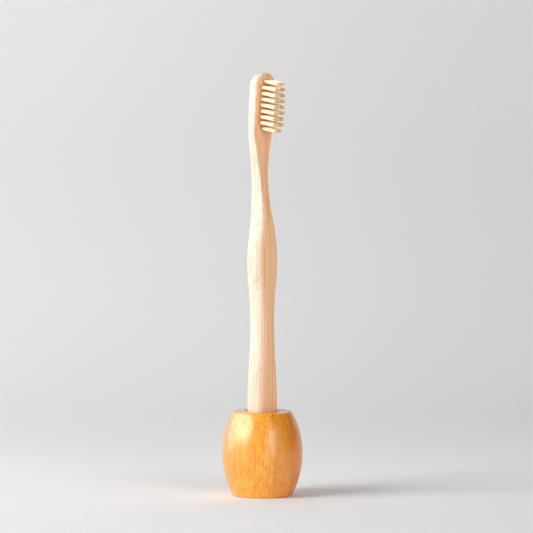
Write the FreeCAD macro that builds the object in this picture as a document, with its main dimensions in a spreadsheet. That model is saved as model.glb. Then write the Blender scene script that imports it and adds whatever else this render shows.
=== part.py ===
import FreeCAD, Part
import math
import os
import Sketcher

# A turned bamboo toothbrush stand and the bamboo brush that stands in its socket.
# Millimetres, +Z up, origin at the centre of the stand's foot, bristles toward -Y, handle width along X.

doc = FreeCAD.newDocument("toothbrush_holder")
sheet = doc.addObject("Spreadsheet::Sheet", "dims")

# Driving dimensions: alias, value, what it measures.
DRIVING = [
    ("stand_height", 42.0, "stand, foot to top face"),
    ("belly_diameter", 40.0, "stand at half its height"),
    ("rim_diameter", 28.6, "stand's top face"),
    ("foot_diameter", 29.4, "stand's foot"),
    ("rim_round", 0.8, "rounding of the top edge"),
    ("foot_bevel", 0.6, "bevel of the foot edge"),
    ("mouth_bevel", 0.5, "bevel of the socket's mouth"),
    ("socket_depth", 22.5, "drilled socket below the top face"),
    ("socket_clearance", 0.3, "socket wall to the butt's corners"),
    ("butt_length", 27.0, "straight lower end of the handle"),
    ("butt_to_waist", 39.0, "height from the straight end to the waist"),
    ("waist_to_grip", 32.0, "height from the waist to the widest grip"),
    ("grip_to_neck", 34.0, "height from the widest grip to the neck"),
    ("neck_to_head", 34.0, "height from the neck to the head's straight sides"),
    ("head_length", 24.0, "straight sides and round end of the head"),
    ("butt_width", 15.6, "handle width at the butt"),
    ("waist_width", 11.8, "handle width at the waist"),
    ("grip_width", 16.0, "handle width at the grip"),
    ("neck_width", 6.0, "handle width at the neck"),
    ("head_width", 13.6, "head width"),
    ("handle_thickness", 10.4, "handle, front to back"),
    ("head_thickness", 4.8, "head at its tip, front to back"),
    ("head_lean", 4.2, "lean of the head's face toward the bristles, in degrees"),
    ("shoulder_rise", 10.0, "from the widest grip up to where front and back start to curve"),
    ("scoop_drop", 14.0, "from the head's straight sides down to the deepest scoop"),
    ("scoop_reach", 0.75, "deepest scoop forward of the handle's middle plane"),
    ("scoop_radius", 176.0, "curve from the deepest scoop to the head's face"),
    ("handle_round", 4.7, "rounding of the long edges from butt to shoulder"),
    ("head_round", 1.0, "rounding of the edges from neck to head"),
    ("butt_ease", 1.8, "butt corner radius beyond the edge rounding"),
    ("first_row_inset", 4.2, "tip of the head to the first row of tufts"),
    ("row_gap", 0.9, "between tuft ends along the head"),
    ("column_gap", 0.9, "between tuft ends across the head"),
    ("tuft_diameter", 1.8, "bundle at its root"),
    ("tuft_flare", 0.2, "growth of the bundle's diameter to its end"),
    ("tuft_length", 10.2, "bundle standing out of the face"),
    ("tuft_edge", 0.25, "bevel of the trimmed end"),
    ("tuft_clearance", 0.05, "hole wall to bundle"),
    ("hole_back_wall", 1.6, "bamboo left behind the tuft holes"),
    ("fold_height", 0.5, "folded filaments under the staple"),
    ("staple_height", 1.3, "staple along the hole"),
    ("staple_thickness", 0.25, "flat wire of the staple"),
    ("staple_bite", 0.25, "staple end driven into the bamboo on each side"),
]

# Sizes that follow from those above; heights on the brush are measured up from its butt.
DERIVED = [
    ("seat_height", "=stand_height - socket_depth", "socket floor above the foot"),
    ("butt_across", "=butt_width / 2 - handle_round", "butt corner's rounding centre, across"),
    ("butt_deep", "=handle_thickness / 2 - handle_round", "butt corner's rounding centre, front to back"),
    ("butt_reach", "=sqrt(butt_across^2 + butt_deep^2) + handle_round", "butt's middle to its far corner"),
    ("socket_diameter", "=2 * (butt_reach + socket_clearance)", "socket that takes the butt"),
    ("butt_corner", "=handle_round + butt_ease", "butt corner in the outline"),
    ("waist_height", "=butt_length + butt_to_waist", "narrowest handle"),
    ("grip_height", "=waist_height + waist_to_grip", "widest grip"),
    ("neck_height", "=grip_height + grip_to_neck", "narrowest neck"),
    ("head_height", "=neck_height + neck_to_head", "lower end of the head's straight sides"),
    ("brush_length", "=head_height + head_length", "butt to tip"),
    ("shoulder_height", "=grip_height + shoulder_rise", "start of the scoop and of the bent back"),
    ("scoop_height", "=head_height - scoop_drop", "deepest scoop"),
    ("lean_sine", "=sin(head_lean * 1 deg)", "sine of the lean"),
    ("lean_cosine", "=cos(head_lean * 1 deg)", "cosine of the lean"),
    ("face_height", "=scoop_height + scoop_radius * lean_sine", "lower end of the flat face"),
    ("face_reach", "=scoop_reach + scoop_radius * (1 - lean_cosine)", "flat face's lower end, forward"),
    ("face_rise", "=(brush_length - face_height) * lean_sine / lean_cosine", "gain of the face to the tip"),
    ("tip_reach", "=face_reach + face_rise", "face at the tip, forward of the middle plane"),
    ("tip_back", "=head_thickness - tip_reach", "back at the tip, behind the middle plane"),
    ("widest", "=max(butt_width; grip_width; head_width)", "widest place of the outline"),
    ("saw_margin", "=handle_thickness / 4", "blank beyond the outline"),
    ("hole_diameter", "=tuft_diameter + 2 * tuft_clearance", "tuft hole"),
    ("hole_depth", "=head_thickness - hole_back_wall", "tuft hole below the face"),
    ("row_pitch", "=tuft_diameter + tuft_flare + row_gap", "rows of tufts"),
    ("column_pitch", "=tuft_diameter + tuft_flare + column_gap", "columns of tufts"),
    ("staple_length", "=hole_diameter + 2 * staple_bite", "staple across its hole"),
]

# Rows of tufts, and each column's place across the head in column pitches.
ROWS = 9
END_ROW = {"left": -0.5, "right": 0.5}
FULL_ROW = {"left": -1, "middle": 0, "right": 1}

# Straight sides round each bundle of filaments.
TUFT_SIDES = 12

# Part of each curve's height that its upper arc takes.
HEAD_TO_NECK = 0.38
NECK_TO_GRIP = 0.56
GRIP_TO_WAIST = 0.45
WAIST_TO_BUTT = 0.50
SCOOP_TO_SHOULDER = 0.68

# The two ends and the centre of a sketch segment, and the sketch's own origin and axes.
START, END, CENTRE = range(1, 4)
ORIGIN = (-1, START)
LEVEL_AXIS, UPRIGHT_AXIS = range(-1, -3, -1)


def fill_sheet():
    for row, (alias, content, meaning) in enumerate(DRIVING + DERIVED, start=1):
        sheet.set(f"A{row}", meaning)
        sheet.set(f"B{row}", str(content))
        sheet.setAlias(f"B{row}", alias)
    doc.recompute()


def size(alias):
    return float(sheet.get(alias))


def vec(point):
    return FreeCAD.Vector(point[0], point[1], 0)


def between(start, end, share):
    return tuple(a + (b - a) * share for a, b in zip(start, end))


def new_body(name):
    body = doc.addObject("PartDesign::Body", name)
    body.Label = name
    return body


def origin_feature(body, role):
    return next(feature for feature in body.Origin.OriginFeatures if feature.Role == role)


def new_sketch(body, name, support):
    sketch = body.newObject("Sketcher::SketchObject", name)
    sketch.AttachmentSupport = (support, [""])
    sketch.MapMode = "FlatFace"
    return sketch


# A segment is its geometry number, the end that comes first and the end that comes last.
def line(sketch, start, end):
    return sketch.addGeometry(Part.LineSegment(vec(start), vec(end)), False), START, END


def arc(sketch, centre, start, end):
    first = math.atan2(start[1] - centre[1], start[0] - centre[0])
    last = math.atan2(end[1] - centre[1], end[0] - centre[0])
    sweep = (last - first + math.pi) % (2 * math.pi) - math.pi
    circle = Part.Circle(vec(centre), FreeCAD.Vector(0, 0, 1), math.dist(centre, start))
    if sweep > 0:
        return sketch.addGeometry(Part.ArcOfCircle(circle, first, first + sweep), False), START, END
    return sketch.addGeometry(Part.ArcOfCircle(circle, last, last - sweep), False), END, START


def mark(sketch, point):
    return sketch.addGeometry(Part.Point(vec(point)), True)


def polygon(sketch, corners):
    """Closed ring of lines through the corners."""
    sides = [line(sketch, a, b) for a, b in zip(corners, corners[1:] + corners[:1])]
    for before, after in zip(sides, sides[1:] + sides[:1]):
        join(sketch, "Coincident", before, after)
    return [side[0] for side in sides]


def join(sketch, kind, before, after):
    sketch.addConstraint(Sketcher.Constraint(kind, before[0], before[2], after[0], after[1]))


def relate(sketch, kind, *where):
    sketch.addConstraint(Sketcher.Constraint(kind, *where))


def drive(sketch, formula, kind, *where):
    """Adds a dimension and binds it to a formula of the sheet's sizes."""
    value = float(sketch.evalExpression(formula))
    index = sketch.addConstraint(Sketcher.Constraint(kind, *where, value))
    sketch.setExpression(f"Constraints[{index}]", formula)


def drive_point(sketch, across, up, geometry, end):
    drive(sketch, across, "DistanceX", *ORIGIN, geometry, end)
    drive(sketch, up, "DistanceY", *ORIGIN, geometry, end)


def wave(upper, lower, share):
    """Centres and turning point of two tangent arcs that stand upright at both given points."""
    rise = upper[1] - lower[1]
    step = upper[0] - lower[0]
    both_radii = (rise ** 2 + step ** 2) / (2 * step)
    upper_centre = (upper[0] - share * both_radii, upper[1])
    lower_centre = (lower[0] + (1 - share) * both_radii, lower[1])
    return upper_centre, between(upper_centre, lower_centre, share), lower_centre


def circle_edge(shape, radius, height):
    for number, edge in enumerate(shape.Edges, start=1):
        is_circle = isinstance(edge.Curve, Part.Circle)
        if is_circle and math.isclose(edge.Curve.Radius, radius, abs_tol=1e-4):
            if math.isclose(edge.Curve.Center.z, height, abs_tol=1e-4):
                return f"Edge{number}"
    raise ValueError(f"no circle of radius {radius} at height {height}")


def bevel_edge(body, name, base, radius, height):
    bevel = body.newObject("PartDesign::Chamfer", name)
    bevel.Base = (base, [circle_edge(base.Shape, radius, height)])
    bevel.setExpression("Size", f"dims.{name}")
    doc.recompute()
    return bevel


def upright_arc(upright, end):
    """Centre and radius of the arc that stands upright at one point and passes through the other."""
    step = upright[0] - end[0]
    radius = ((upright[1] - end[1]) ** 2 + step ** 2) / (2 * step)
    return (upright[0] - radius, upright[1]), radius


def turn_barrel(body):
    """Barrel turned on a lathe: one arc from the foot to the belly, one on to the rim, and a rounded rim."""
    foot = (size("foot_diameter") / 2, 0.0)
    belly = (size("belly_diameter") / 2, size("stand_height") / 2)
    rim = (size("rim_diameter") / 2, size("stand_height"))
    rounding = size("rim_round")
    lower_centre, lower_radius = upright_arc(belly, foot)
    upper_centre, upper_radius = upright_arc(belly, rim)
    rise = rim[1] - rounding - belly[1]
    rim_centre = (upper_centre[0] + math.sqrt((upper_radius - rounding) ** 2 - rise ** 2), rim[1] - rounding)
    rim_start = between(upper_centre, rim_centre, upper_radius / (upper_radius - rounding))
    rim_end = (rim_centre[0], rim[1])

    profile = new_sketch(body, "barrel_profile", origin_feature(body, "XZ_Plane"))
    base = line(profile, (0.0, 0.0), foot)
    lower = arc(profile, lower_centre, foot, belly)
    upper = arc(profile, upper_centre, belly, rim_start)
    edge = arc(profile, rim_centre, rim_start, rim_end)
    top = line(profile, rim_end, (0.0, rim[1]))
    axis = line(profile, (0.0, rim[1]), (0.0, 0.0))
    for before, after in ((lower, upper), (upper, edge), (edge, top)):
        join(profile, "Tangent", before, after)
    for before, after in ((base, lower), (top, axis), (axis, base)):
        join(profile, "Coincident", before, after)
    sharp_rim = mark(profile, rim)
    relate(profile, "PointOnObject", sharp_rim, START, upper[0])
    relate(profile, "Coincident", base[0], START, *ORIGIN)
    relate(profile, "Horizontal", base[0])
    relate(profile, "Horizontal", top[0])
    relate(profile, "Vertical", axis[0])
    relate(profile, "Horizontal", lower[0], CENTRE, lower[0], lower[2])
    drive(profile, "dims.foot_diameter / 2", "DistanceX", *ORIGIN, base[0], END)
    drive_point(profile, "dims.belly_diameter / 2", "dims.stand_height / 2", lower[0], lower[2])
    drive_point(profile, "dims.rim_diameter / 2", "dims.stand_height", sharp_rim, START)
    drive(profile, "dims.rim_round", "Radius", edge[0])
    drive(profile, "dims.stand_height", "DistanceY", *ORIGIN, top[0], END)
    barrel = body.newObject("PartDesign::Revolution", "barrel")
    barrel.Profile = profile
    barrel.ReferenceAxis = (profile, ["V_Axis"])
    barrel.Angle = 360.0


def make_stand():
    """Turned barrel with a drilled blind socket in its top face."""
    body = new_body("stand_body")
    turn_barrel(body)
    mouth = new_sketch(body, "socket_circle", origin_feature(body, "XY_Plane"))
    mouth.setExpression("AttachmentOffset.Base.z", "dims.stand_height")
    socket_radius = size("socket_diameter") / 2
    ring = mouth.addGeometry(Part.Circle(vec((0, 0)), FreeCAD.Vector(0, 0, 1), socket_radius), False)
    relate(mouth, "Coincident", ring, CENTRE, *ORIGIN)
    drive(mouth, "dims.socket_diameter", "Diameter", ring)
    socket = body.newObject("PartDesign::Pocket", "socket")
    socket.Profile = mouth
    socket.setExpression("Length", "dims.socket_depth")
    doc.recompute()
    bevelled = bevel_edge(body, "foot_bevel", socket, size("foot_diameter") / 2, 0.0)
    bevel_edge(body, "mouth_bevel", bevelled, socket_radius, size("stand_height"))
    return body


def pad_profile(body):
    """Side profile of the slat: straight handle, scooped front, head that leans toward the bristles."""
    half = size("handle_thickness") / 2
    low = -size("saw_margin")
    high = size("brush_length") + size("saw_margin")
    slope = size("lean_sine") / size("lean_cosine")
    start = (-half, size("shoulder_height"))
    deepest = (-size("scoop_reach"), size("scoop_height"))
    face_end = (-size("face_reach"), size("face_height"))
    face_top = (-size("tip_reach") - size("saw_margin") * slope, high)
    scoop_centre, turn, shoulder_centre = wave(deepest, start, SCOOP_TO_SHOULDER)
    face_centre = (deepest[0] - size("scoop_radius"), deepest[1])
    bend = (half, size("shoulder_height"))
    tip_back = (size("tip_back"), size("brush_length"))
    back_centre, back_radius = upright_arc(bend, tip_back)
    drop = math.asin((high - bend[1]) / back_radius)
    back_top = (back_centre[0] + back_radius * math.cos(drop), high)

    sketch = new_sketch(body, "side_profile", origin_feature(body, "YZ_Plane"))
    front = line(sketch, (-half, low), start)
    shoulder = arc(sketch, shoulder_centre, start, turn)
    scoop = arc(sketch, scoop_centre, turn, deepest)
    rise = arc(sketch, face_centre, deepest, face_end)
    face = line(sketch, face_end, face_top)
    top = line(sketch, face_top, back_top)
    back_arc = arc(sketch, back_centre, back_top, bend)
    back = line(sketch, bend, (half, low))
    base = line(sketch, (half, low), (-half, low))
    smooth = ((front, shoulder), (shoulder, scoop), (scoop, rise), (rise, face), (back_arc, back))
    sharp = ((face, top), (top, back_arc), (back, base), (base, front))
    for before, after in smooth:
        join(sketch, "Tangent", before, after)
    for before, after in sharp:
        join(sketch, "Coincident", before, after)

    tip_mark = mark(sketch, tip_back)
    relate(sketch, "PointOnObject", tip_mark, START, back_arc[0])
    relate(sketch, "Horizontal", scoop[0], CENTRE, scoop[0], scoop[2])
    for upright in (front, back):
        relate(sketch, "Vertical", upright[0])
    for level in (base, top):
        relate(sketch, "Horizontal", level[0])
    drive(sketch, "dims.handle_thickness / 2", "DistanceX", base[0], END, *ORIGIN)
    drive(sketch, "dims.handle_thickness / 2", "DistanceX", *ORIGIN, base[0], START)
    drive(sketch, "dims.saw_margin", "DistanceY", base[0], START, *ORIGIN)
    drive(sketch, "dims.shoulder_height", "DistanceY", *ORIGIN, front[0], END)
    turn_height = f"dims.scoop_height - {SCOOP_TO_SHOULDER} * (dims.scoop_height - dims.shoulder_height)"
    drive(sketch, turn_height, "DistanceY", *ORIGIN, shoulder[0], shoulder[2])
    drive(sketch, "dims.scoop_reach", "DistanceX", scoop[0], scoop[2], *ORIGIN)
    drive(sketch, "dims.scoop_height", "DistanceY", *ORIGIN, scoop[0], scoop[2])
    drive(sketch, "dims.scoop_radius", "Radius", rise[0])
    drive(sketch, "dims.face_height", "DistanceY", *ORIGIN, face[0], START)
    drive(sketch, "dims.brush_length + dims.saw_margin", "DistanceY", *ORIGIN, top[0], START)
    drive(sketch, "dims.shoulder_height", "DistanceY", *ORIGIN, back[0], START)
    drive_point(sketch, "dims.tip_back", "dims.brush_length", tip_mark, START)

    slat = body.newObject("PartDesign::Pad", "slat")
    slat.Profile = sketch
    slat.SideType = "Symmetric"
    slat.setExpression("Length", "dims.widest + dims.saw_margin")


def cut_outline(body):
    """Saws the slat to its front outline on one side and mirrors the cut."""
    length = size("brush_length")
    margin = size("saw_margin")
    outside = size("widest") / 2 + margin
    tip = size("head_width") / 2
    corner = size("butt_corner")
    butt = size("butt_width") / 2
    stations = (
        ("dims.head_width / 2", "dims.head_height"),
        ("dims.neck_width / 2", "dims.neck_height"),
        ("dims.grip_width / 2", "dims.grip_height"),
        ("dims.waist_width / 2", "dims.waist_height"),
        ("dims.butt_width / 2", "dims.butt_length"),
    )
    shares = (HEAD_TO_NECK, NECK_TO_GRIP, GRIP_TO_WAIST, WAIST_TO_BUTT)

    sketch = new_sketch(body, "front_outline", origin_feature(body, "XZ_Plane"))
    points = [tuple(float(sketch.evalExpression(formula)) for formula in station) for station in stations]
    round_end = arc(sketch, (0.0, length - tip), (0.0, length), (tip, length - tip))
    head_side = line(sketch, (tip, length - tip), points[0])
    chain = [round_end, head_side]
    for upper, lower, share in zip(points, points[1:], shares):
        upper_centre, turn, lower_centre = wave(upper, lower, share)
        chain.append(arc(sketch, upper_centre, upper, turn))
        chain.append(arc(sketch, lower_centre, turn, lower))
    butt_side = line(sketch, points[-1], (butt, corner))
    butt_arc = arc(sketch, (butt - corner, corner), (butt, corner), (butt - corner, 0.0))
    butt_end = line(sketch, (butt - corner, 0.0), (0.0, 0.0))
    chain += [butt_side, butt_arc, butt_end]
    for before, after in zip(chain, chain[1:]):
        join(sketch, "Tangent", before, after)
    high = length + margin
    waste = ((0.0, 0.0), (0.0, -margin), (outside, -margin), (outside, high), (0.0, high), (0.0, length))
    frame = [line(sketch, a, b) for a, b in zip(waste, waste[1:])]
    ring = [butt_end] + frame + [round_end]
    for before, after in zip(ring, ring[1:]):
        join(sketch, "Coincident", before, after)

    relate(sketch, "Coincident", frame[0][0], START, *ORIGIN)
    relate(sketch, "PointOnObject", round_end[0], CENTRE, UPRIGHT_AXIS)
    relate(sketch, "PointOnObject", round_end[0], round_end[1], UPRIGHT_AXIS)
    for upright in (frame[0], frame[2], frame[4], head_side, butt_side):
        relate(sketch, "Vertical", upright[0])
    for level in (frame[1], frame[3], butt_end):
        relate(sketch, "Horizontal", level[0])
    # The outline stands upright at the neck, the grip and the waist.
    for bend in chain[3:8:2]:
        relate(sketch, "Horizontal", bend[0], CENTRE, bend[0], bend[2])
    drive(sketch, "dims.brush_length", "DistanceY", *ORIGIN, round_end[0], round_end[1])
    drive(sketch, "dims.butt_corner", "Radius", butt_arc[0])
    drive(sketch, "dims.saw_margin", "DistanceY", frame[0][0], END, *ORIGIN)
    drive(sketch, "dims.saw_margin", "DistanceY", frame[4][0], END, frame[4][0], START)
    drive(sketch, "dims.widest / 2 + dims.saw_margin", "DistanceX", *ORIGIN, frame[1][0], END)
    for station, segment in zip(stations, chain[1::2]):
        drive_point(sketch, *station, segment[0], segment[2])
    for upper, lower, share, segment in zip(stations, stations[1:], shares, chain[2::2]):
        turn_height = f"{upper[1]} - {share} * ({upper[1]} - {lower[1]})"
        drive(sketch, turn_height, "DistanceY", *ORIGIN, segment[0], segment[2])

    cut = body.newObject("PartDesign::Pocket", "outline_cut")
    cut.Profile = sketch
    cut.SideType = "Symmetric"
    cut.Type = "ThroughAll"
    doc.recompute()
    mirrored = body.newObject("PartDesign::Mirrored", "outline_cut_mirrored")
    mirrored.Originals = [cut]
    mirrored.MirrorPlane = (origin_feature(body, "YZ_Plane"), [""])
    body.Tip = mirrored
    doc.recompute()


def tuft_grid():
    """Row number, column name and place across in column pitches; row 1 is nearest the tip."""
    for row in range(1, ROWS + 1):
        columns = END_ROW if row in (1, ROWS) else FULL_ROW
        for column, place in columns.items():
            yield row, column, place


def row_inset(row):
    return f"(dims.first_row_inset + {row - 1} * dims.row_pitch)"


def drill_head(body):
    """Drills the tuft holes square to the leaning face of the head."""
    face = body.newObject("PartDesign::Plane", "head_face")
    face.AttachmentSupport = (origin_feature(body, "XZ_Plane"), [""])
    face.MapMode = "FlatFace"
    face.AttachmentOffset = FreeCAD.Placement(vec((0, 0)), FreeCAD.Rotation(FreeCAD.Vector(1, 0, 0), 1))
    face.setExpression("AttachmentOffset.Base.y", "dims.brush_length")
    face.setExpression("AttachmentOffset.Base.z", "dims.tip_reach")
    face.setExpression("AttachmentOffset.Rotation.Angle", "dims.head_lean")
    doc.recompute()
    sketch = new_sketch(body, "tuft_holes", face)
    radius = size("hole_diameter") / 2
    for row, column, place in tuft_grid():
        inset = float(sketch.evalExpression(row_inset(row)))
        centre = vec((place * size("column_pitch"), -inset))
        hole = sketch.addGeometry(Part.Circle(centre, FreeCAD.Vector(0, 0, 1), radius), False)
        drive(sketch, "dims.hole_diameter", "Diameter", hole)
        drive(sketch, row_inset(row), "DistanceY", hole, CENTRE, *ORIGIN)
        if place < 0:
            drive(sketch, f"{-place} * dims.column_pitch", "DistanceX", hole, CENTRE, *ORIGIN)
        elif place > 0:
            drive(sketch, f"{place} * dims.column_pitch", "DistanceX", *ORIGIN, hole, CENTRE)
        else:
            relate(sketch, "PointOnObject", hole, CENTRE, UPRIGHT_AXIS)
    holes = body.newObject("PartDesign::Pocket", "holes")
    holes.Profile = sketch
    holes.SideType = "Two sides"
    holes.setExpression("Length", "dims.hole_depth")
    holes.setExpression("Length2", "dims.handle_thickness")
    doc.recompute()


def edge_round(height):
    """Rounding of the long edges, which shrinks from the shoulder up to the neck."""
    fade = (height - size("shoulder_height")) / (size("neck_height") - size("shoulder_height"))
    fade = min(1.0, max(0.0, fade))
    return size("handle_round") + (size("head_round") - size("handle_round")) * fade


def middle_of(edge):
    return edge.valueAt((edge.FirstParameter + edge.LastParameter) / 2)


def rise_of(edge):
    return edge.lastVertex().Z - edge.firstVertex().Z


def long_edges(shape):
    """Open edges where the slat's broad faces meet its sawn outline, as one loop in front and one behind."""
    front, back = [], []
    for number, edge in enumerate(shape.Edges, start=1):
        if edge.isClosed():
            continue
        middle = middle_of(edge)
        faces = shape.ancestorsOfType(edge, Part.Face)
        normals = [face.normalAt(*face.Surface.parameter(middle)) for face in faces]
        broad = [normal.y for normal in normals if abs(normal.x) < 1e-6 and abs(normal.y) > 0.5]
        sawn = any(abs(normal.y) < 1e-6 for normal in normals)
        if broad and sawn:
            loop = front if broad[0] < 0 else back
            loop.append((number, edge))
    return front, back


def round_loop(loop, seat):
    """Edge numbers with the rounding at both ends, in the direction of the loop's first edge."""
    ordered = sorted(loop, key=lambda item: -abs(rise_of(item[1])))
    turns = [middle_of(edge).x * rise_of(edge) > 0 for number, edge in ordered]
    for (number, edge), turn in zip(ordered, turns):
        ends = [edge_round(vertex.Z - seat) for vertex in (edge.firstVertex(), edge.lastVertex())]
        if turn != turns[0]:
            ends.reverse()
        yield number, *ends


def make_handle():
    """Bamboo slat: side profile, front outline, drilled head, then its edges rounded over."""
    body = new_body("handle_blank")
    body.setExpression("Placement.Base.z", "dims.seat_height")
    pad_profile(body)
    cut_outline(body)
    drill_head(body)
    handle = doc.addObject("Part::Fillet", "brush_handle")
    handle.Base = body
    loops = long_edges(body.Shape)
    handle.Edges = [rounds for loop in loops for rounds in round_loop(loop, size("seat_height"))]
    doc.recompute()
    return handle


def stand_in_hole(piece, row, place):
    """Places a piece on its hole's mouth, its own Z along the hole and out of the head."""
    piece.Placement = FreeCAD.Placement(vec((0, 0)), FreeCAD.Rotation(FreeCAD.Vector(1, 0, 0), 90))
    height = f"dims.seat_height + dims.brush_length - {row_inset(row)} * dims.lean_cosine"
    piece.setExpression("Placement.Base.x", f"{place} * dims.column_pitch")
    piece.setExpression("Placement.Base.y", f"{row_inset(row)} * dims.lean_sine - dims.tip_reach")
    piece.setExpression("Placement.Base.z", height)
    piece.setExpression("Placement.Rotation.Angle", "90 + dims.head_lean")


def staple_section(body, name):
    """Section of the staple that lies in the fold of the filaments, near the hole's floor."""
    half = size("staple_thickness") / 2
    low = size("fold_height") - size("hole_depth")
    high = low + size("staple_height")
    sketch = new_sketch(body, name, origin_feature(body, "YZ_Plane"))
    floor, right, top, left = polygon(sketch, ((-half, low), (half, low), (half, high), (-half, high)))
    relate(sketch, "Symmetric", floor, START, floor, END, UPRIGHT_AXIS)
    relate(sketch, "Horizontal", top)
    relate(sketch, "Vertical", left)
    relate(sketch, "Vertical", right)
    drive(sketch, "dims.staple_thickness", "DistanceX", floor, START, floor, END)
    drive(sketch, "dims.staple_height", "DistanceY", right, START, right, END)
    drive(sketch, "dims.hole_depth - dims.fold_height", "DistanceY", floor, START, *ORIGIN)
    return sketch


def bundle_section(body, name):
    """Ring of straight sides inside the bundle's circle, on the floor of the hole."""
    radius = size("tuft_diameter") / 2
    turns = [2 * math.pi * corner / TUFT_SIDES for corner in range(TUFT_SIDES)]
    sketch = new_sketch(body, name, origin_feature(body, "XY_Plane"))
    sketch.setExpression("AttachmentOffset.Base.z", "-dims.hole_depth")
    sides = polygon(sketch, [(radius * math.cos(turn), radius * math.sin(turn)) for turn in turns])
    ring = sketch.addGeometry(Part.Circle(vec((0, 0)), FreeCAD.Vector(0, 0, 1), radius), True)
    relate(sketch, "Coincident", ring, CENTRE, *ORIGIN)
    relate(sketch, "PointOnObject", sides[0], START, LEVEL_AXIS)
    for side in sides:
        relate(sketch, "PointOnObject", side, START, ring)
    for side in sides[1:]:
        relate(sketch, "Equal", sides[0], side)
    drive(sketch, "dims.tuft_diameter", "Diameter", ring)
    return sketch


def make_tuft(row, column, place):
    """Bundle of filaments: root folded round its staple, flaring a little to a trimmed end."""
    body = new_body(f"tuft_row{row}_{column}")
    bundle = body.newObject("PartDesign::Pad", f"{body.Name}_bundle")
    bundle.Profile = bundle_section(body, f"{body.Name}_section")
    bundle.setExpression("Length", "dims.hole_depth + dims.tuft_length")
    bundle.setExpression("TaperAngle", "atan(dims.tuft_flare / 2 / (dims.hole_depth + dims.tuft_length))")
    doc.recompute()
    faces = enumerate(bundle.Shape.Faces, start=1)
    end = max(faces, key=lambda item: item[1].CenterOfMass.z)
    trim = body.newObject("PartDesign::Chamfer", f"{body.Name}_trim")
    trim.Base = (bundle, [f"Face{end[0]}"])
    trim.setExpression("Size", "dims.tuft_edge")
    fold = body.newObject("PartDesign::Pocket", f"{body.Name}_fold")
    fold.Profile = staple_section(body, f"{body.Name}_staple_section")
    fold.SideType = "Symmetric"
    fold.Type = "ThroughAll"
    stand_in_hole(body, row, place)
    return body


def make_staples():
    """Flat wire anchors, one through the fold of each tuft, their ends driven into the bamboo."""
    staples = []
    for row, column, place in tuft_grid():
        body = new_body(f"staple_row{row}_{column}")
        section = staple_section(body, f"{body.Name}_section")
        wire = body.newObject("PartDesign::Pad", f"{body.Name}_wire")
        wire.Profile = section
        wire.SideType = "Symmetric"
        wire.setExpression("Length", "dims.staple_length")
        stand_in_hole(body, row, place)
        staples.append(body)
    group = doc.addObject("Part::Compound", "tuft_staples")
    group.Links = staples
    return group


def check(parts):
    for piece in doc.Objects:
        if {"Invalid", "Error"} & set(piece.State):
            raise RuntimeError(f"{piece.Name} failed: {piece.State}")
    for part in parts:
        if part.Shape.isNull() or not part.Shape.isValid():
            raise RuntimeError(f"{part.Label} has no valid shape")


fill_sheet()
parts = [make_stand(), make_handle()]
parts += [make_tuft(row, column, place) for row, column, place in tuft_grid()]
parts.append(make_staples())
doc.recompute()
check(parts)
os.makedirs("parts", exist_ok=True)
for part in parts:
    part.Shape.exportStep(f"parts/{part.Label}.step")
    print(part.Label, len(part.Shape.Solids), "solids", round(part.Shape.Volume, 2), "mm3")
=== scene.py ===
import math
import random

import bmesh
import bpy
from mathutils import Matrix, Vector


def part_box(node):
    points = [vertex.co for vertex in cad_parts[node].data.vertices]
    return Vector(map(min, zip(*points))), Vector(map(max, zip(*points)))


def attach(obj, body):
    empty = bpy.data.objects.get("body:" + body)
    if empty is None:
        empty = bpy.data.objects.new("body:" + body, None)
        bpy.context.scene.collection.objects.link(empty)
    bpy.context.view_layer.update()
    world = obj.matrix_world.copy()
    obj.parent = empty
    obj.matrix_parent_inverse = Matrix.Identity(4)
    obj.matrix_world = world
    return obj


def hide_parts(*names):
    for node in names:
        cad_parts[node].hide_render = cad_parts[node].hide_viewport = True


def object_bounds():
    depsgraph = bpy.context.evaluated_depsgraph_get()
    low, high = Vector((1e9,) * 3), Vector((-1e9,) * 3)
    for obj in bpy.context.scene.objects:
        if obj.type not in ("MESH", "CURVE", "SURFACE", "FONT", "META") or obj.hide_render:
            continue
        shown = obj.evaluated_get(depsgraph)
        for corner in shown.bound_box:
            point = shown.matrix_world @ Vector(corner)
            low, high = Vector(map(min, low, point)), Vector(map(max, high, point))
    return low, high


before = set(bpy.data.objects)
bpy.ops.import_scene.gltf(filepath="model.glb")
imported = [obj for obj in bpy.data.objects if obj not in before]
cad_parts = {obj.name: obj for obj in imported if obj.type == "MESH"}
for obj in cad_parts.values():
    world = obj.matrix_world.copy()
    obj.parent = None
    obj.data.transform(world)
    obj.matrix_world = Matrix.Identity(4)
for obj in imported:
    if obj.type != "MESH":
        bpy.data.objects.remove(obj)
cad_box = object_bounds()

# Metres and degrees, in the row frame: +Z up, bristles toward -Y, origin under the stand.
# A direction round the object is an azimuth, 0 toward -Y and 90 toward +X, and an elevation.
CAMERA_AZIMUTH = -45.0
CAMERA_ELEVATION = 4.3
CAMERA_DISTANCE = 2.25
CAMERA_LENS = 307.6
SENSOR_WIDTH = 36.0
AIM_HEIGHT = 0.1137
AIM_ASIDE = 0.00212

# The brush's head: the lean of its face, and half the width over which the face is flat.
HEAD_LEAN = 4.2
FACE_HALF_WIDTH = 0.0062
SAME_PLACE = 1e-5

# Filaments of one tuft: rings of six, twelve, eighteen and so on round the middle one.
FILAMENT_RINGS = 4
FILAMENT_RADIUS = 0.0001
FILAMENT_SIDES = 6
# How unevenly the tips are trimmed and spread, how far they hang, and how the root sits in its hole.
TRIM_SPREAD = 0.00018
SPLAY_SPREAD = 0.00005
TIP_DROOP = 0.0005
ROOT_PINCH = 0.96
SET_IN_HOLE = 0.0012

# Glued strips of the stand: width, the way they face, one joint's place, and the turn from shade to shade.
STRIP_WIDTH = 0.0092
STRIP_AZIMUTH = 57.0
STRIP_OFFSET = 0.0019
STRIP_SHADES = 0.8

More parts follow.
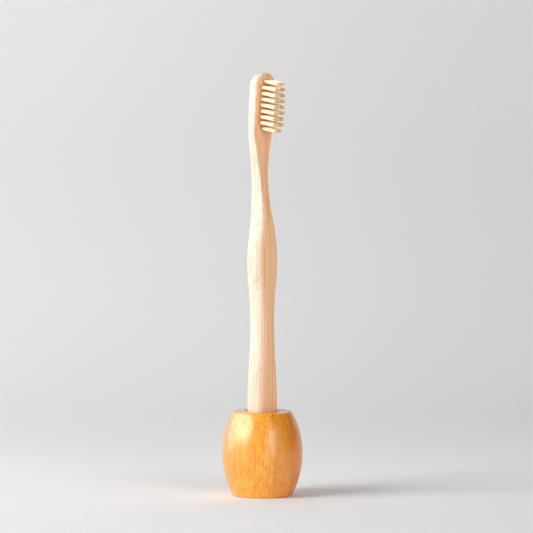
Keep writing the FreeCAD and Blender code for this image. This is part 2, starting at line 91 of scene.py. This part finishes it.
# Paper: how far the floor reaches, where the sweep starts to rise behind the object, and how sharply.
FLOOR_REACH = 3.0
SWEEP_START = 0.10
SWEEP_RADIUS = 0.6
SWEEP_HEIGHT = 3.0
SWEEP_HALF_WIDTH = 0.7
SWEEP_STEPS = 24
# Glow of the paper where it is seen or mirrored.
PAPER_LIFT = 0.06

LAMP_DISTANCE = 3.0


def toward(azimuth, elevation):
    a, e = math.radians(azimuth), math.radians(elevation)
    return Vector((math.sin(a) * math.cos(e), -math.cos(a) * math.cos(e), math.sin(e)))


SCREEN_RIGHT = toward(CAMERA_AZIMUTH + 90.0, 0.0)
INTO_SCENE = toward(CAMERA_AZIMUTH + 180.0, 0.0)
TUFT_OUT = toward(0.0, -HEAD_LEAN)


# Shader nodes


def new_material(name):
    material = bpy.data.materials.new(name)
    material.use_nodes = True
    tree = material.node_tree
    return material, tree, tree.nodes["Principled BSDF"]


def link(tree, source, target):
    tree.links.new(source, target)


def feed(tree, socket, value):
    """Links an output to the socket, or sets a plain value on it."""
    if isinstance(value, bpy.types.NodeSocket):
        link(tree, value, socket)
    else:
        socket.default_value = value


def set_plain(shader, **values):
    for name, value in values.items():
        shader.inputs[name.replace("_", " ")].default_value = value


def place(tree):
    return tree.nodes.new("ShaderNodeTexCoord").outputs["Object"]


def stretch(tree, coordinates, features):
    """Coordinates in features to the metre along each axis."""
    mapping = tree.nodes.new("ShaderNodeMapping")
    mapping.inputs["Scale"].default_value = features
    link(tree, coordinates, mapping.inputs["Vector"])
    return mapping.outputs["Vector"]


def noise(tree, coordinates, features, detail=2.0):
    pattern = tree.nodes.new("ShaderNodeTexNoise")
    pattern.inputs["Scale"].default_value = 1.0
    pattern.inputs["Detail"].default_value = detail
    link(tree, stretch(tree, coordinates, features), pattern.inputs["Vector"])
    return pattern.outputs["Fac"]


def rods(tree, coordinates, features):
    """Distance from the middle of the nearest long cell, 0 in the middle."""
    cells = tree.nodes.new("ShaderNodeTexVoronoi")
    cells.inputs["Scale"].default_value = 1.0
    link(tree, stretch(tree, coordinates, features), cells.inputs["Vector"])
    return cells.outputs["Distance"]


def sums(tree, operation, first, second=0.0):
    node = tree.nodes.new("ShaderNodeMath")
    node.operation = operation
    feed(tree, node.inputs[0], first)
    feed(tree, node.inputs[1], second)
    return node.outputs["Value"]


def opposite(tree, value):
    """1 where the value is 0, and 0 where it is 1."""
    return sums(tree, "SUBTRACT", 1.0, value)


def dot(tree, coordinates, direction):
    node = tree.nodes.new("ShaderNodeVectorMath")
    node.operation = "DOT_PRODUCT"
    link(tree, coordinates, node.inputs[0])
    node.inputs[1].default_value = direction
    return node.outputs["Value"]


def fade(tree, value, low, high):
    """0 at the low value, 1 at the high one, with a soft start and end."""
    node = tree.nodes.new("ShaderNodeMapRange")
    node.interpolation_type = "SMOOTHSTEP"
    link(tree, value, node.inputs["Value"])
    node.inputs["From Min"].default_value = low
    node.inputs["From Max"].default_value = high
    return node.outputs["Result"]


def openness(tree, reach):
    """1 where nothing stands within reach, less in gaps and corners."""
    node = tree.nodes.new("ShaderNodeAmbientOcclusion")
    node.inputs["Distance"].default_value = reach
    return node.outputs["AO"]


def mix(tree, share, first, second, blend="MIX"):
    node = tree.nodes.new("ShaderNodeMix")
    node.data_type = "RGBA"
    node.blend_type = blend
    colours = [socket for socket in node.inputs if socket.type == "RGBA"]
    feed(tree, node.inputs["Factor"], share)
    for socket, value in zip(colours, (first, second)):
        feed(tree, socket, value)
    return next(socket for socket in node.outputs if socket.type == "RGBA")


def span(tree, value, low, high):
    """A number between two limits, led by a 0 to 1 value."""
    node = tree.nodes.new("ShaderNodeMapRange")
    link(tree, value, node.inputs["Value"])
    node.inputs["To Min"].default_value = low
    node.inputs["To Max"].default_value = high
    return node.outputs["Result"]


def bump(tree, height, depth, strength=1.0):
    node = tree.nodes.new("ShaderNodeBump")
    node.inputs["Strength"].default_value = strength
    node.inputs["Distance"].default_value = depth
    link(tree, height, node.inputs["Height"])
    return node.outputs["Normal"]


def colour(red, green, blue):
    return (red, green, blue, 1.0)


# Materials


def handle_bamboo():
    """Pale sanded bamboo: fibre bundles run up the slat and show as stripes or, where it slopes, flecks."""
    material, tree, shader = new_material("handle_bamboo_satin")
    here = place(tree)
    normal = tree.nodes.new("ShaderNodeNewGeometry").outputs["Normal"]

    # Narrow sides pale and broad faces deeper tan: partly the slat's own faces and edges, partly painted
    # light and shade, with the sides kept pale like a lit side and the faces tan like a shaded one.
    facing = sums(tree, "ABSOLUTE", dot(tree, normal, (0.0, 1.0, 0.0)))
    broad = fade(tree, facing, 0.62, 1.0)
    base = mix(tree, broad, colour(0.86, 0.755, 0.63), colour(0.98, 0.61, 0.36))
    bands = noise(tree, here, (900.0, 900.0, 4.0), 2.0)
    base = mix(tree, fade(tree, bands, 0.45, 0.70), base, colour(0.88, 0.76, 0.64), "MULTIPLY")
    tilt = sums(tree, "ABSOLUTE", dot(tree, normal, (0.0, 0.0, 1.0)))
    slope = fade(tree, tilt, 0.012, 0.06)
    stripes = opposite(tree, fade(tree, rods(tree, here, (820.0, 820.0, 7.0)), 0.14, 0.42))
    flecks = opposite(tree, fade(tree, rods(tree, here, (1150.0, 1150.0, 430.0)), 0.2, 0.5))
    along = sums(tree, "MULTIPLY", stripes, opposite(tree, slope))
    across = sums(tree, "MULTIPLY", flecks, sums(tree, "MULTIPLY", slope, 0.55))
    fibre = sums(tree, "ADD", along, across)
    strength = span(tree, noise(tree, here, (300.0, 300.0, 24.0)), 0.2, 1.2)
    dark = sums(tree, "MULTIPLY", fibre, strength)
    base = mix(tree, dark, base, colour(0.82, 0.62, 0.40), "MULTIPLY")
    threads = noise(tree, here, (5200.0, 5200.0, 60.0), 2.0)
    base = mix(tree, fade(tree, threads, 0.35, 0.75), base, colour(0.96, 0.91, 0.85), "MULTIPLY")
    # Painted shade: the bamboo turns deeper orange where it is hemmed in, as between and under the tufts.
    gaps = mix(tree, 1.0, base, colour(1.0, 0.70, 0.38), "MULTIPLY")
    base = mix(tree, fade(tree, openness(tree, 0.004), 0.2, 0.8), gaps, base)
    link(tree, base, shader.inputs["Base Color"])

    link(tree, span(tree, bands, 0.42, 0.56), shader.inputs["Roughness"])
    relief = sums(tree, "SUBTRACT", threads, sums(tree, "MULTIPLY", fibre, 0.6))
    link(tree, bump(tree, relief, 0.00006, 0.5), shader.inputs["Normal"])
    set_plain(shader, Specular_IOR_Level=0.45)
    return material


def stand_bamboo():
    """Turned block of glued bamboo strips under clear gloss lacquer."""
    material, tree, shader = new_material("stand_bamboo_lacquer")
    here = place(tree)
    across = dot(tree, here, toward(STRIP_AZIMUTH, 0.0))
    strips = sums(tree, "DIVIDE", sums(tree, "SUBTRACT", across, STRIP_OFFSET), STRIP_WIDTH)
    # Each strip has its own tone, but the turn runs them from light on the view's left to dark on its right,
    # so part of this is painted shade on the side away from the key.
    turn = sums(tree, "MULTIPLY", sums(tree, "FLOOR", strips), STRIP_SHADES)
    swing = sums(tree, "SINE", sums(tree, "SUBTRACT", turn, 0.3))
    shade = sums(tree, "ADD", sums(tree, "MULTIPLY", swing, 0.5), 0.5)
    inside = sums(tree, "FRACT", strips)
    from_edge = sums(tree, "MINIMUM", inside, opposite(tree, inside))
    glue = opposite(tree, fade(tree, from_edge, 0.0, 0.035))

    base = mix(tree, shade, colour(0.96, 0.46, 0.034), colour(0.77, 0.22, 0.012))
    bands = noise(tree, here, (600.0, 600.0, 8.0), 3.0)
    base = mix(tree, fade(tree, bands, 0.40, 0.72), base, colour(0.90, 0.74, 0.55), "MULTIPLY")
    streaks = noise(tree, here, (1900.0, 1900.0, 170.0), 3.0)
    base = mix(tree, fade(tree, streaks, 0.38, 0.66), base, colour(0.92, 0.74, 0.50), "MULTIPLY")
    bundles = rods(tree, here, (1100.0, 1100.0, 90.0))
    fibre = opposite(tree, fade(tree, bundles, 0.14, 0.40))
    strength = span(tree, noise(tree, here, (240.0, 240.0, 50.0)), 0.0, 1.2)
    base = mix(tree, sums(tree, "MULTIPLY", fibre, strength), base, colour(0.70, 0.17, 0.004))
    base = mix(tree, sums(tree, "MULTIPLY", glue, 0.45), base, colour(0.42, 0.13, 0.010))
    link(tree, base, shader.inputs["Base Color"])

    threads = noise(tree, here, (4200.0, 4200.0, 90.0), 2.0)
    rings = noise(tree, here, (60.0, 60.0, 1900.0), 2.0)
    relief = sums(tree, "ADD", sums(tree, "MULTIPLY", rings, 0.5), sums(tree, "MULTIPLY", threads, 0.5))
    for socket in ("Normal", "Coat Normal"):
        link(tree, bump(tree, relief, 0.00005, 0.5), shader.inputs[socket])
    link(tree, span(tree, bands, 0.34, 0.48), shader.inputs["Roughness"])
    set_plain(shader, Coat_Weight=1.0, Coat_Roughness=0.25, Coat_IOR=1.7, Specular_IOR_Level=0.3)
    return material


def bristle_nylon(face):
    """Cream filaments, with warm painted shade at the root and where they stand close together."""
    material, tree, shader = new_material("bristle_nylon")
    here = place(tree)
    out = sums(tree, "SUBTRACT", dot(tree, here, TUFT_OUT), face)
    beside_face = span(tree, fade(tree, out, 0.0, 0.007), 0.35, 0.0)
    # Painted shade: filaments hemmed in by others, such as the tips of the back columns, turn warm orange;
    # next to the face this is eased.
    room = sums(tree, "ADD", openness(tree, 0.005), beside_face)
    base = mix(tree, fade(tree, room, 0.45, 0.8), colour(1.0, 0.70, 0.35), colour(1.0, 0.96, 0.83))
    # Painted shade: warm orange at the roots, within about two millimetres of the face.
    base = mix(tree, fade(tree, out, -0.0005, 0.002), colour(1.0, 0.58, 0.20), base)
    strands = noise(tree, here, (2600.0, 180.0, 2600.0), 2.0)
    base = mix(tree, fade(tree, strands, 0.3, 0.7), base, colour(0.99, 0.95, 0.88), "MULTIPLY")
    link(tree, base, shader.inputs["Base Color"])
    link(tree, span(tree, strands, 0.4, 0.55), shader.inputs["Roughness"])
    set_plain(shader, Specular_IOR_Level=0.3)
    set_plain(shader, Subsurface_Weight=0.1, Subsurface_Radius=(1.0, 0.7, 0.4), Subsurface_Scale=0.0002)
    return material


def staple_brass():
    """Flat drawn wire with fine lines along its length."""
    material, tree, shader = new_material("staple_brass")
    here = place(tree)
    lines = noise(tree, here, (400.0, 9000.0, 9000.0), 2.0)
    base = mix(tree, lines, colour(0.78, 0.58, 0.27), colour(0.62, 0.43, 0.17))
    link(tree, base, shader.inputs["Base Color"])
    link(tree, span(tree, lines, 0.25, 0.45), shader.inputs["Roughness"])
    set_plain(shader, Metallic=1.0)
    return material


def studio_paper():
    """Pale seamless paper, seen from its front only, with painted light falloff: lighter to the left and
    darker up the bend and wall, so that floor, bend and wall run together.
    """
    material, tree, shader = new_material("studio_paper")
    here = place(tree)
    # Painted light: the paper is lighter on the view's left, where the key stands, than on its right, and
    # darker where it bends and rises.
    aside = fade(tree, dot(tree, here, SCREEN_RIGHT), -0.2, 0.2)
    depth = dot(tree, here, INTO_SCENE)
    height = dot(tree, here, (0.0, 0.0, 1.0))
    floor = mix(tree, aside, colour(0.94, 0.94, 0.945), colour(0.81, 0.81, 0.815))
    bend = mix(tree, aside, colour(0.77, 0.77, 0.775), colour(0.66, 0.66, 0.665))
    wall = mix(tree, aside, colour(0.69, 0.69, 0.695), colour(0.61, 0.61, 0.615))
    tone = mix(tree, fade(tree, depth, 0.08, 0.25), floor, bend)
    tone = mix(tree, fade(tree, height, 0.02, 0.16), tone, wall)
    fibres = noise(tree, here, (900.0, 900.0, 900.0), 3.0)
    tone = mix(tree, fibres, tone, colour(0.985, 0.985, 0.985), "MULTIPLY")
    link(tree, tone, shader.inputs["Base Color"])
    set_plain(shader, Roughness=0.9, Specular_IOR_Level=0.1)
    rays = tree.nodes.new("ShaderNodeLightPath").outputs
    seen = sums(tree, "MAXIMUM", rays["Is Camera Ray"], rays["Is Glossy Ray"])
    seen = sums(tree, "MAXIMUM", seen, rays["Is Transmission Ray"])
    link(tree, tone, shader.inputs["Emission Color"])
    link(tree, sums(tree, "MULTIPLY", seen, PAPER_LIFT), shader.inputs["Emission Strength"])
    front = tree.nodes.new("ShaderNodeMixShader")
    link(tree, tree.nodes.new("ShaderNodeNewGeometry").outputs["Backfacing"], front.inputs["Fac"])
    link(tree, shader.outputs["BSDF"], front.inputs[1])
    link(tree, tree.nodes.new("ShaderNodeBsdfTransparent").outputs["BSDF"], front.inputs[2])
    link(tree, front.outputs["Shader"], tree.nodes["Material Output"].inputs["Surface"])
    return material


# Pieces


def cover(nodes, material):
    for name in nodes:
        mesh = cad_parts[name].data
        mesh.materials.clear()
        mesh.materials.append(material)


def tuft_ends(node):
    """Middle of the tuft's root and of its trimmed end, and its radius at both."""
    points = [vertex.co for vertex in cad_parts[node].data.vertices]
    lengths = [point.dot(TUFT_OUT) for point in points]
    low, high = min(lengths), max(lengths)
    middle_x = (max(point.x for point in points) + min(point.x for point in points)) / 2
    root = [point for point, length in zip(points, lengths) if length < low + SAME_PLACE]
    centre = sum(root, Vector()) / len(root)
    centre.x = middle_x
    reach = max((point - centre).cross(TUFT_OUT).length for point in root)
    wide = max((point - centre).cross(TUFT_OUT).length for point in points)
    return centre, centre + TUFT_OUT * (high - low), reach, wide


def filament_places():
    """Places of the filaments across a tuft, 1 at the outside, ring by ring."""
    yield 0.0, 0.0
    for ring in range(1, FILAMENT_RINGS + 1):
        for step in range(6 * ring):
            turn = 2 * math.pi * (step + 0.5 * ring) / (6 * ring)
            yield ring / FILAMENT_RINGS * math.cos(turn), ring / FILAMENT_RINGS * math.sin(turn)


def add_filament(mesh, start, end, side, up):
    """Thin tube with a rounded tip."""
    along = (end - start).normalized()
    stations = (
        (start, 1.0),
        (start.lerp(end, 0.5) + up * TIP_DROOP * 0.25, 1.0),
        (end - along * FILAMENT_RADIUS, 1.0),
        (end - along * FILAMENT_RADIUS * 0.3, 0.7),
    )
    rings = []
    for centre, share in stations:
        ring = []
        for corner in range(FILAMENT_SIDES):
            turn = 2 * math.pi * corner / FILAMENT_SIDES
            offset = (side * math.cos(turn) + up * math.sin(turn)) * FILAMENT_RADIUS * share
            ring.append(mesh.verts.new(centre + offset))
        rings.append(ring)
    for low, high in zip(rings, rings[1:]):
        for corner in range(FILAMENT_SIDES):
            after = (corner + 1) % FILAMENT_SIDES
            mesh.faces.new((low[corner], low[after], high[after], high[corner]))
    tip = mesh.verts.new(end)
    for corner in range(FILAMENT_SIDES):
        mesh.faces.new((rings[-1][corner], rings[-1][(corner + 1) % FILAMENT_SIDES], tip))
    mesh.faces.new(list(reversed(rings[0])))


def make_bristles(node, face, material):
    """Bundle of separate filaments in the place of one CAD tuft."""
    chance = random.Random(node)
    root, end, reach, wide = tuft_ends(node)
    root += TUFT_OUT * (face - SET_IN_HOLE - root.dot(TUFT_OUT))
    side = Vector((1.0, 0.0, 0.0))
    up = TUFT_OUT.cross(side)
    inner = reach * ROOT_PINCH - FILAMENT_RADIUS
    outer = wide - FILAMENT_RADIUS - SPLAY_SPREAD
    mesh = bmesh.new()
    for across, along in filament_places():
        start = root + (side * across + up * along) * inner
        tip = end + (side * across + up * along) * outer
        for way in (side, up):
            tip += way * chance.uniform(-SPLAY_SPREAD, SPLAY_SPREAD)
        tip -= TUFT_OUT * chance.uniform(0.0, TRIM_SPREAD) + up * TIP_DROOP
        add_filament(mesh, start, tip, side, up)
    name = node.replace("tuft", "bristles")
    data = bpy.data.meshes.new(name)
    mesh.to_mesh(data)
    mesh.free()
    for polygon in data.polygons:
        polygon.use_smooth = True
    data.materials.append(material)
    piece = bpy.data.objects.new(name, data)
    bpy.context.collection.objects.link(piece)
    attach(piece, "brush")
    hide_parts(node)


# Stage


def add_sheet(name, rows, material):
    """Smooth sheet through rows of points."""
    mesh = bmesh.new()
    corners = [[mesh.verts.new(point) for point in row] for row in rows]
    for low, high in zip(corners, corners[1:]):
        for step in range(len(low) - 1):
            mesh.faces.new((low[step], low[step + 1], high[step + 1], high[step]))
    data = bpy.data.meshes.new(name)
    mesh.to_mesh(data)
    mesh.free()
    for polygon in data.polygons:
        polygon.use_smooth = True
    data.materials.append(material)
    sheet = bpy.data.objects.new(name, data)
    bpy.context.collection.objects.link(sheet)


def make_paper():
    """Paper that lies under the object and, on a narrower roll, curves up behind it."""
    paper = studio_paper()
    ends = (-FLOOR_REACH, FLOOR_REACH)
    add_sheet("floor", [[SCREEN_RIGHT * side + INTO_SCENE * depth for side in ends] for depth in ends], paper)
    turns = [math.pi / 2 * step / SWEEP_STEPS for step in range(SWEEP_STEPS + 1)]
    profile = [(SWEEP_START + SWEEP_RADIUS * math.sin(t), SWEEP_RADIUS * (1 - math.cos(t))) for t in turns]
    profile.append((SWEEP_START + SWEEP_RADIUS, SWEEP_HEIGHT))
    sides = (-SWEEP_HALF_WIDTH, SWEEP_HALF_WIDTH)
    up = Vector((0.0, 0.0, 1.0))
    middles = [INTO_SCENE * depth + up * rise for depth, rise in profile]
    add_sheet("sweep", [[middle + SCREEN_RIGHT * side for side in sides] for middle in middles], paper)


def softbox(name, aside, elevation, width, height, watts, tint=(1.0, 1.0, 1.0)):
    """Flat lamp that points at the middle of the object, so many degrees aside from the camera."""
    lamp = bpy.data.lights.new(name, "AREA")
    lamp.shape = "RECTANGLE"
    lamp.size = width
    lamp.size_y = height
    lamp.energy = watts
    lamp.color = tint
    box = bpy.data.objects.new(name, lamp)
    middle = (cad_box[0] + cad_box[1]) / 2
    outward = toward(CAMERA_AZIMUTH + aside, elevation)
    box.location = middle + outward * LAMP_DISTANCE
    box.rotation_mode = "QUATERNION"
    box.rotation_quaternion = outward.to_track_quat("Z", "Y")
    box.visible_camera = False
    bpy.context.collection.objects.link(box)
    return box


def make_light():
    """Light from the left, with a wider window and a card for the lacquer to mirror, and a soft front."""
    key = softbox("key", -65.0, 25.0, 1.9, 1.5, 82.0)
    bounce = softbox("bounce", 32.0, 7.0, 2.5, 2.5, 39.0)
    for lamp in (key, bounce):
        lamp.visible_glossy = False
    window = softbox("window", -65.0, 26.0, 2.7, 1.9, 68.0)
    card = softbox("card", -108.0, 18.0, 2.4, 2.6, 56.0)
    for lamp in (window, card):
        lamp.visible_diffuse = False
    softbox("fill", 30.0, 14.0, 1.5, 2.0, 20.0, (1.0, 0.93, 0.92))
    world = bpy.data.worlds.new("studio")
    bpy.context.scene.world = world
    world.use_nodes = True
    tree = world.node_tree
    background = tree.nodes["Background"]
    background.inputs["Color"].default_value = colour(1.0, 0.995, 0.99)
    aside = dot(tree, tree.nodes.new("ShaderNodeTexCoord").outputs["Generated"], SCREEN_RIGHT)
    link(tree, span(tree, fade(tree, aside, -1.0, 0.4), 0.44, 0.08), background.inputs["Strength"])


def make_camera():
    lens = bpy.data.cameras.new("camera")
    lens.lens = CAMERA_LENS
    lens.sensor_width = SENSOR_WIDTH
    lens.clip_end = 100.0
    camera = bpy.data.objects.new("camera", lens)
    aim = Vector((0.0, 0.0, AIM_HEIGHT)) + SCREEN_RIGHT * AIM_ASIDE
    back = toward(CAMERA_AZIMUTH, CAMERA_ELEVATION)
    camera.location = aim + back * CAMERA_DISTANCE
    camera.rotation_mode = "QUATERNION"
    camera.rotation_quaternion = (-back).to_track_quat("-Z", "Y")
    bpy.context.collection.objects.link(camera)
    bpy.context.scene.camera = camera


def face_plane(nodes):
    """Where the face of the head lies along the way that the tufts point."""
    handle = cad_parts["brush_handle"].data
    tops = [point.co for point in handle.vertices if abs(point.co.x) < FACE_HALF_WIDTH]
    low = min(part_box(node)[0].z for node in nodes)
    return max(point.dot(TUFT_OUT) for point in tops if point.z > low)


bpy.context.scene.view_settings.view_transform = "Standard"
tufts = [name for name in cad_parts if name.startswith("tuft_row")]
face = face_plane(tufts)
make_camera()
make_paper()
make_light()
cover(["stand_body"], stand_bamboo())
cover(["brush_handle"], handle_bamboo())
cover(["tuft_staples"], staple_brass())
nylon = bristle_nylon(face)
for tuft in tufts:
    make_bristles(tuft, face, nylon)
